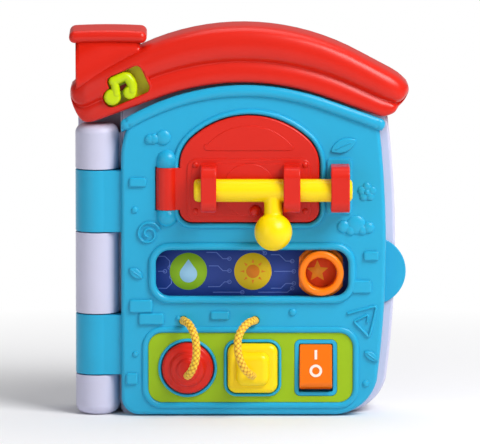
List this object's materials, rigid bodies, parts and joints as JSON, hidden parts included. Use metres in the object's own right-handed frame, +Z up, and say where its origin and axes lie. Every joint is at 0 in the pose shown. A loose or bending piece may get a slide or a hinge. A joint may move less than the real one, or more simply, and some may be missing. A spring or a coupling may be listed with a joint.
{
  "type": "activity house toy",
  "caption": "Book-like toy house with a hinged front cover carrying a bolted door, sliding ring, tethered shape plugs and a rocker, under an arched roof.",
  "frame": {"origin": "middle of the whole object's box, at the underside it stands on", "axes": "+Z up, the cover faces -Y, the spine is on -X"},
  "size_m": [0.21, 0.0782, 0.2434],
  "materials": {
    "red": "gloss moulded ABS",
    "blue": "gloss moulded ABS",
    "lavender": "gloss moulded ABS",
    "yellow": "gloss moulded ABS",
    "lime": "gloss moulded ABS",
    "orange": "gloss moulded ABS",
    "green_print": "printed film",
    "blue_print": "printed film",
    "white_paint": "pad printed ink",
    "cord": "braided polyester",
    "steel": "plain steel",
    "board": "glass fibre board",
    "black": "black plastic and paper cone",
    "cell": "wrapped cell"
  },
  "bodies": {
    "house": {"rear_shell": "lavender", "inner_panel": "lavender", "roof_shell": "red", "chimney": "red", "note_floor": "lime", "spine_pin": "steel", "loudspeaker": "black", "speaker_magnet": "steel", "circuit_board": "board", "battery_box": "lavender", "cells": "cell", "cell_contacts": "steel", "battery_door": "lavender", "battery_screw": "steel", "case_screws": "steel", "board_screws": "steel"},
    "note": {"note_slider": "lime"},
    "cover": {"cover_front": "blue", "cover_back": "blue", "cover_screws": "steel", "keeper": "red", "slot_label": "blue_print", "green_panel": "green_print", "floor_plate": "blue", "cord_knots": "cord", "rocker_pin": "steel", "door_pin": "steel", "round_cord": "cord", "square_cord": "cord"},
    "ring": {"slide_ring": "orange"},
    "round_plug_body": {"round_plug": "red"},
    "square_plug_body": {"square_plug": "yellow"},
    "rocker_body": {"rocker": "orange", "rocker_marks": "white_paint"},
    "door_body": {"door": "red", "left_staple": "red", "right_staple": "red"},
    "bolt_carrier": {"bolt_end_cap": "yellow"},
    "bolt_body": {"bolt": "yellow"}
  },
  "joints": [
    {"name": "cover_swing", "type": "hinge", "parent": "house", "child": "cover", "pos_m": [-0.088, 0.0051, 0.09], "axis": [0, 0, -1], "range_deg": [0, 170]},
    {"name": "door_swing", "type": "hinge", "parent": "cover", "child": "door_body", "pos_m": [-0.0446, -0.0091, 0.142], "axis": [0, 0, -1], "range_deg": [0, 80]},
    {"name": "bolt_slide", "type": "slide", "parent": "door_body", "child": "bolt_carrier", "axis": [-1, 0, 0], "range_m": [0, 0.0145]},
    {"name": "bolt_turn", "type": "hinge", "parent": "bolt_carrier", "child": "bolt_body", "pos_m": [0.02, -0.0234, 0.1426], "axis": [-1, 0, 0], "range_deg": [0, 160]},
    {"name": "ring_slide", "type": "slide", "parent": "cover", "child": "ring", "axis": [-1, 0, 0], "range_m": [0, 0.082]},
    {"name": "round_plug_pull", "type": "slide", "parent": "cover", "child": "round_plug_body", "axis": [0, -1, 0], "range_m": [0, 0.016], "deforming": ["round_cord"]},
    {"name": "square_plug_pull", "type": "slide", "parent": "cover", "child": "square_plug_body", "axis": [0, -1, 0], "range_m": [0, 0.016], "deforming": ["square_cord"]},
    {"name": "rocker_tilt", "type": "hinge", "parent": "cover", "child": "rocker_body", "pos_m": [0.0476, -0.0059, 0.0304], "axis": [1, 0, 0], "range_deg": [0, 16]},
    {"name": "note_slide", "type": "slide", "parent": "house", "child": "note", "axis": [0.9135, 0, 0.4067], "range_m": [0, 0.006]}
  ]
}
